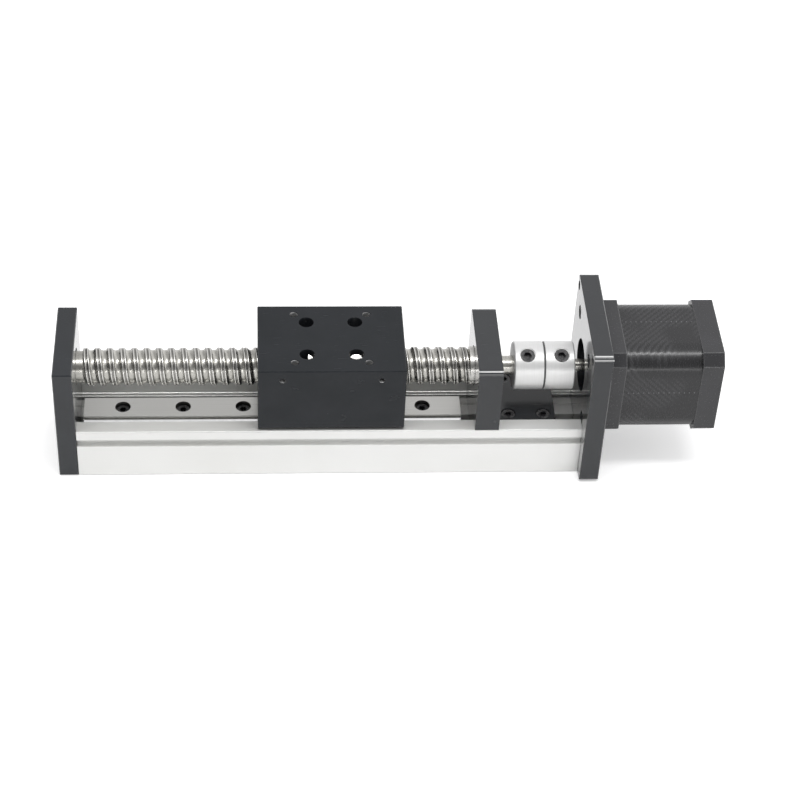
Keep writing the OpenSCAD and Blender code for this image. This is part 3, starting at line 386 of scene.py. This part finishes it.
ALONG_X = (4, 5200, 5200)
AROUND_X = (4000, 80, 80)
MATS = {
    "clear_anodised_aluminium": clear_anodised(),
    "black_anodised_aluminium": black_anodised("black_anodised_aluminium", (0.019, 0.021, 0.024),
                                               (0.023, 0.026, 0.030), 1.0),
    "ground_guide_steel": ground_steel("ground_guide_steel", (0.62, 0.615, 0.59), 0.27, ALONG_X),
    "bearing_steel": ground_steel("bearing_steel", (0.62, 0.62, 0.61), 0.2, AROUND_X),
    "screw_steel": screw_steel(),
    "bright_aluminium": bright_aluminium(),
    "fastener_steel": black_oxide(),
    "motor_cap_aluminium": motor_cap(),
    "lamination_steel": laminations(),
    "rotor_steel": ground_steel("rotor_steel", (0.5, 0.5, 0.5), 0.35, AROUND_X),
    "zinc_steel": ground_steel("zinc_steel", (0.66, 0.67, 0.70), 0.3, (900, 900, 900)),
    "spring_steel": ground_steel("spring_steel", (0.16, 0.16, 0.165), 0.35, (1500, 1500, 1500)),
    "polished_balls": ground_steel("polished_balls", (0.86, 0.86, 0.86), 0.08, (600, 600, 600), 0.000001),
    "end_cap_plastic": plastic("end_cap_plastic", (0.04, 0.24, 0.15), 0.42),
    "seal_rubber": plastic("seal_rubber", (0.025, 0.025, 0.026), 0.6),
    "wiper_plastic": plastic("wiper_plastic", (0.045, 0.045, 0.05), 0.5),
    "insert_plastic": plastic("insert_plastic", (0.085, 0.085, 0.085), 0.45),
    "connector_plastic": plastic("connector_plastic", (0.80, 0.77, 0.68), 0.38),
}
# Painted highlight lines along the upper front corners of two nodes, as (millimetres down over the
# corner, strength)
PAINTED_HIGHLIGHT_LINES = {
    "bearing_block": ((-1.3, 0.6), (0.5, 0.15)),
    "motor_plate": ((-1.9, 0.8), (0.45, 0.55)),
}


def own_materials():
    """Blacks of the nodes that differ from their slot's: a duller carriage and two greyer uprights with
    painted highlight lines along their upper front corners.
    """
    own = {"carriage_block": black_anodised("carriage_anodised_aluminium", (0.0145, 0.017, 0.0195),
                                            (0.0195, 0.0215, 0.025), 0.0)}
    for node, lines in PAINTED_HIGHLIGHT_LINES.items():
        own[node] = black_anodised(node + "_aluminium", (0.026, 0.0275, 0.030), (0.030, 0.032, 0.035),
                                   1.0, node, lines)
    return own


def dress_nodes():
    slots = {s["node"]: s["material_slot"] for s in frame["record"]["subparts"]}
    own = own_materials()
    for name, obj in NODES.items():
        obj.data.materials.clear()
        obj.data.materials.append(own.get(name) or MATS[slots[name]])


dress_nodes()


# ------------------------------------------------------------- mesh helpers

def new_piece(name, bm, slot, body, material=None, angle=35.0):
    """A smooth-shaded piece with sharp edges over the angle, riding on a body."""
    mesh = bpy.data.meshes.new(name)
    bm.normal_update()
    bm.to_mesh(mesh)
    bm.free()
    mesh.polygons.foreach_set("use_smooth", [True] * len(mesh.polygons))
    mesh.set_sharp_from_angle(angle=math.radians(angle))
    mesh.materials.append(material or MATS[slot])
    obj = bpy.data.objects.new(name, mesh)
    scene.collection.objects.link(obj)
    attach(obj, body)
    return obj


def bar(bm, section, x0, x1):
    """A bar along X with a section of (y, z) points in millimetres."""
    ends = [[bm.verts.new(Vector((x, y, z)) * MM) for y, z in section] for x in (x0, x1)]
    for i in range(len(section)):
        j = (i + 1) % len(section)
        bm.faces.new((ends[0][i], ends[0][j], ends[1][j], ends[1][i]))
    for end in ends:
        bm.faces.new(end)


def around_x(x, r, turn):
    """A point about the screw's axis, in metres."""
    return Vector((x, r * math.cos(turn), AXIS_Z + r * math.sin(turn))) * MM


# ---------------------------------------------------------- finer ball screw

# One side of the rolling seam: distance from the crest's middle, and depth below the crest
SEAM = [(0.72, 0.0), (0.54, 0.02), (0.42, 0.1), (0.2, 0.2)]
SEAM_DEPTH = 0.22
CREST_CHAMFER = 0.1
TRACK_SHARE = 0.965   # share of the track's section that is cut round
TRACK_STEPS = 6       # points on each side of the track's middle
TUCK = 0.2            # length of a plain stretch that the thread covers
NECK_TUCK = 0.8
DRIVE_STEP = 0.4      # length of the journal that stands out of the bearing block


def track_section():
    """One lead of the thread's section as (x, r): the track, then its crest with the rolling seam."""
    edge = math.sqrt(TRACK_SECTION ** 2 - (TRACK_R - CREST_R) ** 2)
    points = []
    for i in range(-TRACK_STEPS, TRACK_STEPS + 1):
        t = edge * TRACK_SHARE * i / TRACK_STEPS
        points.append((t, TRACK_R - math.sqrt(TRACK_SECTION ** 2 - t * t)))
    land = LEAD / 2 - edge
    crest = [(land, CREST_CHAMFER), (land - CREST_CHAMFER, 0.02)] + SEAM
    points += [(LEAD / 2 - offset, CREST_R - drop) for offset, drop in crest]
    points.append((LEAD / 2, CREST_R - SEAM_DEPTH))
    points += [(LEAD / 2 + offset, CREST_R - drop) for offset, drop in reversed(crest)]
    return points


def ball_track(bm, x0, x1, steps=96):
    """The right-hand ball track between x0 and x1."""
    start = x0 - 1.5 * LEAD - TRACK_PHASE
    section = track_section()
    count = len(section) * (math.ceil((x1 - x0) / LEAD) + 3)
    rows = []
    for k in range(steps):
        row = []
        for j in range(count + 1):
            t, r = section[j % len(section)]
            x = start + LEAD * (k / steps + j // len(section)) + t
            row.append(bm.verts.new(around_x(x, r, 2 * math.pi * k / steps)))
        rows.append(row)
    rows.append(rows[0][len(section):])
    for a, b in zip(rows, rows[1:]):
        for j in range(min(len(a), len(b)) - 1):
            bm.faces.new((a[j], b[j], b[j + 1], a[j + 1]))
    for x, side in ((x0, -1), (x1, 1)):
        geom = list(bm.verts) + list(bm.edges) + list(bm.faces)
        bmesh.ops.bisect_plane(bm, geom=geom, dist=1e-8, plane_co=around_x(x, 0, 0),
                               plane_no=(side, 0, 0), clear_outer=True)
    bmesh.ops.holes_fill(bm, edges=[e for e in bm.edges if e.is_boundary], sides=0)


def turned(bm, stretches, edge=0.12, steps=96):
    """A closed turned body of (x0, x1, radius) stretches with small chamfers, about the screw's axis."""
    outline = []
    for x0, x1, r in stretches:
        outline += [(x0, r - edge), (x0 + edge, r), (x1 - edge, r), (x1, r - edge)]
    turns = [2 * math.pi * i / steps for i in range(steps)]
    rings = [[bm.verts.new(around_x(x, r, turn)) for turn in turns] for x, r in outline]
    for a, b in zip(rings, rings[1:]):
        for i in range(steps):
            j = (i + 1) % steps
            bm.faces.new((a[i], a[j], b[j], b[i]))
    for ring in (rings[0], rings[-1]):
        bm.faces.new(ring)


def build_screw():
    """The screw with a finer track than the CAD one, and with chamfered journals."""
    bearing_low = extent("fixed_bearing_inner")[0]
    ring_low, ring_high = extent("shaft_retaining_ring")
    shell_r = SCREW_HIGH.y
    thread_x0 = PROFILE_LOW.x + NECK_L
    thread_x1 = BLOCK_LOW.x - RUNOUT_L
    drive_x0 = BLOCK_LOW.x + BLOCK_T + DRIVE_STEP
    bm = bmesh.new()
    ball_track(bm, thread_x0, thread_x1)
    bmesh.ops.recalc_face_normals(bm, faces=bm.faces)
    ends = bmesh.new()
    turned(ends, [(SCREW_LOW.x, PROFILE_LOW.x, JOURNAL_R),
                  (PROFILE_LOW.x, thread_x0 + NECK_TUCK, NECK_R)])
    turned(ends, [(thread_x1 - TUCK, BLOCK_LOW.x, shell_r),
                  (BLOCK_LOW.x, bearing_low.x, SHOULDER_R),
                  (bearing_low.x, ring_low.x, JOURNAL_R),
                  (ring_low.x, ring_high.x, GROOVE_R),
                  (ring_high.x, drive_x0, JOURNAL_R),
                  (drive_x0, SCREW_HIGH.x, DRIVE_R)])
    bmesh.ops.recalc_face_normals(ends, faces=ends.faces)
    scratch = bpy.data.meshes.new("scratch")
    ends.to_mesh(scratch)
    ends.free()
    bm.from_mesh(scratch)
    bpy.data.meshes.remove(scratch)
    screw = new_piece("ball_screw_ground", bm, "screw_steel", "screw", angle=40.0)
    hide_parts("ball_screw")


build_screw()


# ------------------------------------------------------------ tapped threads

# Corners of a thread's ridge in pitches: height, and place along the hole
RIDGE = ((0.0, -0.42), (0.3, -0.06), (0.3, 0.06), (0.0, 0.42))
LEAD_IN = 0.25        # depth at which a thread starts
WALL_BITE = 0.01      # how far a thread's root lies in the hole's wall
M4_DEPTH = 6.0
M4_PITCH = 0.7
M3_DEPTH = 5.0
M3_PITCH = 0.5


def helix_ridge(bm, mouth, axis, radius, depth, pitch, steps=28):
    """A thread ridge on a hole's wall, from its mouth inwards along axis, in millimetres."""
    axis = Vector(axis)
    across = axis.orthogonal().normalized()
    other = axis.cross(across)
    before = None
    for i in range(int(depth / pitch * steps) + 1):
        turn = 2 * math.pi * i / steps
        out = across * math.cos(turn) + other * math.sin(turn)
        middle = Vector(mouth) + axis * (LEAD_IN + pitch * i / steps)
        row = [bm.verts.new((middle + out * (radius - height * pitch) + axis * (place * pitch)) * MM)
               for height, place in RIDGE]
        if before:
            for a in range(3):
                bm.faces.new((before[a], before[a + 1], row[a + 1], row[a]))
        before = row


def hole_pattern(name):
    """Middle, half spacings and radius of a bolt pattern among the record's mounts, in millimetres."""
    mount = next(m for m in frame["record"]["mounts"] if m["name"] == name)
    dims = mount["dims"]
    middle = Vector(mount["pos_m"]) / MM
    return middle, dims["spacing_x_mm"] / 2, dims.get("spacing_y_mm", 0.0) / 2, dims["hole_r_mm"]


def build_threads():
    """Threads of the carriage's tapped holes, cut bright through the black oxide."""
    top, top_dx, top_dy, m4_r = hole_pattern("carriage_tapped_holes")
    side, side_dx, _, m3_r = hole_pattern("carriage_side_holes")
    bm = bmesh.new()
    for dx in (-top_dx, top_dx):
        for dy in (-top_dy, top_dy):
            mouth = top + Vector((dx, dy, 0))
            helix_ridge(bm, mouth, (0, 0, -1), m4_r + WALL_BITE, M4_DEPTH, M4_PITCH)
    for dx in (-side_dx, side_dx):
        mouth = side + Vector((dx, 0, 0))
        helix_ridge(bm, mouth, (0, 1, 0), m3_r + WALL_BITE, M3_DEPTH, M3_PITCH)
    new_piece("carriage_tapped_threads", bm, "black_anodised_aluminium", "carriage",
              MATS["rotor_steel"], 60.0)


build_threads()


# ------------------------------------------------- tracks of the guide rail

GUIDE_TRACK_OUT = 0.1  # how far outside the rail's side the track's middle lies
GUIDE_TRACK_Z = 6.1    # height of the track's middle above the rail's underside
GUIDE_TRACK_R = 1.15
LAND_TURNS = (-95, -55, -15)  # corners of the polished flank round the track, in degrees


def build_track_lands():
    """The polished lower flank of each of the rail's two ball tracks."""
    middle_y = RAIL_HIGH.y + GUIDE_TRACK_OUT
    middle_z = RAIL_LOW.z + GUIDE_TRACK_Z
    bm = bmesh.new()
    for side in (-1, 1):
        flank = []
        for turn in LAND_TURNS:
            inward = GUIDE_TRACK_R * math.cos(math.radians(turn))
            upward = GUIDE_TRACK_R * math.sin(math.radians(turn))
            flank.append((side * (middle_y - inward), middle_z + upward))
        bar(bm, flank, RAIL_LOW.x, RAIL_HIGH.x)
    bmesh.ops.recalc_face_normals(bm, faces=bm.faces)
    new_piece("rail_track_lands", bm, "ground_guide_steel", "base", MATS["polished_balls"])


build_track_lands()


# ------------------------------------------------------- ribs of the profile

CHANNEL_WALL = 15.0   # half the channel's width
RIBS = ((1.2, 1.0), (2.35, 0.4))  # height above the channel's floor, and reach out of its wall
RIB_ROOT = 0.1        # how far a rib's root lies in the wall
RIB_LIP = 0.15        # thickness of a rib's edge
RIB_RISE = 0.2        # rise of a rib's upper side towards the wall
RIB_FALL = 0.3        # depth of a rib at the wall below its edge


def build_ribs():
    """Two fine extruded ribs at the foot of each channel wall; their upper sides catch the light."""
    bm = bmesh.new()
    root = CHANNEL_WALL + RIB_ROOT
    for side in (-1, 1):
        for height, reach in RIBS:
            z = RAIL_LOW.z + height
            tip = CHANNEL_WALL - reach
            section = [(root, z + RIB_RISE), (tip, z), (tip, z - RIB_LIP), (root, z - RIB_FALL)]
            bar(bm, [(side * y, h) for y, h in section], PROFILE_LOW.x, PROFILE_HIGH.x)
    bmesh.ops.recalc_face_normals(bm, faces=bm.faces)
    new_piece("channel_ribs", bm, "clear_anodised_aluminium", "base")


build_ribs()


# ------------------------------------------------------------ stack's points

POINT_SPACING = 2.1
POINT_OFF = 2.8       # distance of the row from the middle of the stack's side
POINT_R = 0.36
POINT_H = 0.2


def build_points():
    """The row of small pressed points along each side of the lamination stack."""
    bm = bmesh.new()
    count = int((STACK_HIGH.x - STACK_LOW.x) / POINT_SPACING)
    first = (STACK_LOW.x + STACK_HIGH.x - POINT_SPACING * (count - 1)) / 2
    seat = Matrix.Translation(Vector((0, POINT_OFF, STACK_HIGH.y)) * MM)
    shape = seat @ Matrix.Diagonal((POINT_R * MM, POINT_R * MM, POINT_H * MM, 1))
    for side in range(4):
        turn = Matrix.Rotation(side * math.pi / 2, 4, "X")
        for i in range(count):
            place = Matrix.Translation(around_x(first + POINT_SPACING * i, 0, 0)) @ turn
            bmesh.ops.create_icosphere(bm, subdivisions=2, radius=1.0, matrix=place @ shape)
    new_piece("stack_points", bm, "lamination_steel", "base", MATS["spring_steel"], 60.0)


build_points()


# ------------------------------------------------------------ camera, light

def camera(azimuth, elevation, roll, lens, location):
    """A camera by its heading in degrees, focal length in millimetres and place in metres."""
    az, el, ro = (math.radians(v) for v in (azimuth, elevation, roll))
    ahead = Vector((math.sin(az) * math.cos(el), math.cos(az) * math.cos(el), -math.sin(el)))
    level = Vector((math.cos(az), -math.sin(az), 0))
    up = level.cross(ahead)
    right = level * math.cos(ro) + up * math.sin(ro)
    top = up * math.cos(ro) - level * math.sin(ro)
    cam = bpy.data.objects.new("camera", bpy.data.cameras.new("camera"))
    scene.collection.objects.link(cam)
    cam.matrix_world = Matrix.Translation(location) @ Matrix((right, top, -ahead)).transposed().to_4x4()
    cam.data.sensor_width = 36.0
    cam.data.lens = lens
    cam.data.clip_start = 0.01
    cam.data.clip_end = 20.0
    scene.camera = cam


LIT_POINT = Vector((0, 0, 0.03))  # where the lamps point


def softbox(name, location, size, energy):
    data = bpy.data.lights.new(name, "AREA")
    data.shape = "RECTANGLE"
    data.size, data.size_y = size
    data.energy = energy
    obj = bpy.data.objects.new(name, data)
    scene.collection.objects.link(obj)
    obj.location = location
    obj.rotation_mode = "QUATERNION"
    obj.rotation_quaternion = (LIT_POINT - Vector(location)).to_track_quat("-Z", "Y")


def ramp(tree, value, stops):
    """A grey colour ramp through (place, level) stops."""
    node = tree.nodes.new("ShaderNodeValToRGB")
    marks = node.color_ramp.elements
    while len(marks) < len(stops):
        marks.new(0.5)
    for mark, (place, level) in zip(marks, stops):
        mark.position = place
        mark.color = (level, level, level * 1.01, 1)
    tree.links.new(value, node.inputs[0])
    return node.outputs[0]


def between(tree, value, low, high, first, second):
    """Mixes two colours as value goes from low to high."""
    part = tree.nodes.new("ShaderNodeMapRange")
    part.inputs[1].default_value = low
    part.inputs[2].default_value = high
    tree.links.new(value, part.inputs[0])
    mix = tree.nodes.new("ShaderNodeMix")
    mix.data_type = "RGBA"
    tree.links.new(part.outputs[0], mix.inputs[0])
    tree.links.new(first, mix.inputs[6])
    tree.links.new(second, mix.inputs[7])
    return mix.outputs[2]


# Grey levels of the studio behind and in front of the object, by the height of the direction, 0 to 1
BACK_LEVELS = [(0.0, 0.95), (0.3, 0.9), (0.55, 0.78), (0.75, 0.78), (1.0, 0.9)]
FRONT_LEVELS = [(0.0, 0.6), (0.12, 0.6), (0.3, 0.36), (0.45, 0.28), (0.8, 0.34), (0.9, 0.9), (1.0, 0.95)]
FRONT_TO_BACK = (-0.12, 0.12)  # between these Y of the direction, the front turns into the back
RIGHT_DIM = (-0.15, 0.3, 0.76, 1.3)  # strengths 0.76 and 1.3 at these X of the direction


def world():
    """A white room for the camera; other rays see a studio that is darker in front of the object."""
    studio = bpy.data.worlds.new("studio")
    scene.world = studio
    studio.use_nodes = True
    tree = studio.node_tree
    tree.nodes.clear()
    place = tree.nodes.new("ShaderNodeTexCoord")
    split = tree.nodes.new("ShaderNodeSeparateXYZ")
    tree.links.new(place.outputs["Generated"], split.inputs[0])
    back = ramp(tree, split.outputs["Z"], BACK_LEVELS)
    front = ramp(tree, split.outputs["Z"], FRONT_LEVELS)
    room = between(tree, split.outputs["Y"], *FRONT_TO_BACK, front, back)
    dim = tree.nodes.new("ShaderNodeMapRange")
    for i, value in enumerate(RIGHT_DIM):
        dim.inputs[i + 1].default_value = value
    tree.links.new(split.outputs["X"], dim.inputs[0])
    light = tree.nodes.new("ShaderNodeBackground")
    tree.links.new(room, light.inputs[0])
    tree.links.new(dim.outputs[0], light.inputs[1])
    white = tree.nodes.new("ShaderNodeBackground")
    white.inputs[0].default_value = (1, 1, 1, 1)
    path = tree.nodes.new("ShaderNodeLightPath")
    mix = tree.nodes.new("ShaderNodeMixShader")
    tree.links.new(path.outputs["Is Camera Ray"], mix.inputs[0])
    tree.links.new(light.outputs[0], mix.inputs[1])
    tree.links.new(white.outputs[0], mix.inputs[2])
    out = tree.nodes.new("ShaderNodeOutputWorld")
    tree.links.new(mix.outputs[0], out.inputs[0])


def floor():
    """A white floor that keeps the object's shadow."""
    bm = bmesh.new()
    bmesh.ops.create_grid(bm, x_segments=8, y_segments=8, size=2.5)
    mesh = bpy.data.meshes.new("floor")
    bm.to_mesh(mesh)
    bm.free()
    obj = bpy.data.objects.new("floor", mesh)
    obj.location = (0, 0, -0.0002)
    scene.collection.objects.link(obj)
    m = Mat("floor", (0.9, 0.9, 0.9), 0.0, 0.9, Emission_Color=(1, 1, 1, 1), Specular_IOR_Level=0.0)
    path = m.add("ShaderNodeLightPath").outputs
    to_camera = m.math("MULTIPLY", path["Is Camera Ray"], 0.40)
    to_gloss = m.math("MULTIPLY", path["Is Glossy Ray"], 0.08)
    m.put(m.math("ADD", to_camera, to_gloss), m.shader.inputs["Emission Strength"])
    mesh.materials.append(m.mat)


camera(azimuth=5.186, elevation=42.196, roll=3.198, lens=99.55, location=(-0.03254, -0.68413, 0.64448))
world()
floor()
softbox("overhead", (0.0, -0.25, 1.4), (1.8, 0.2), 11.0)
softbox("front", (0.0, -1.35, 0.24), (1.8, 0.1), 3.2)
softbox("side", (1.2, -0.3, 0.7), (0.6, 0.9), 2.0)

scene.view_settings.view_transform = "Standard"
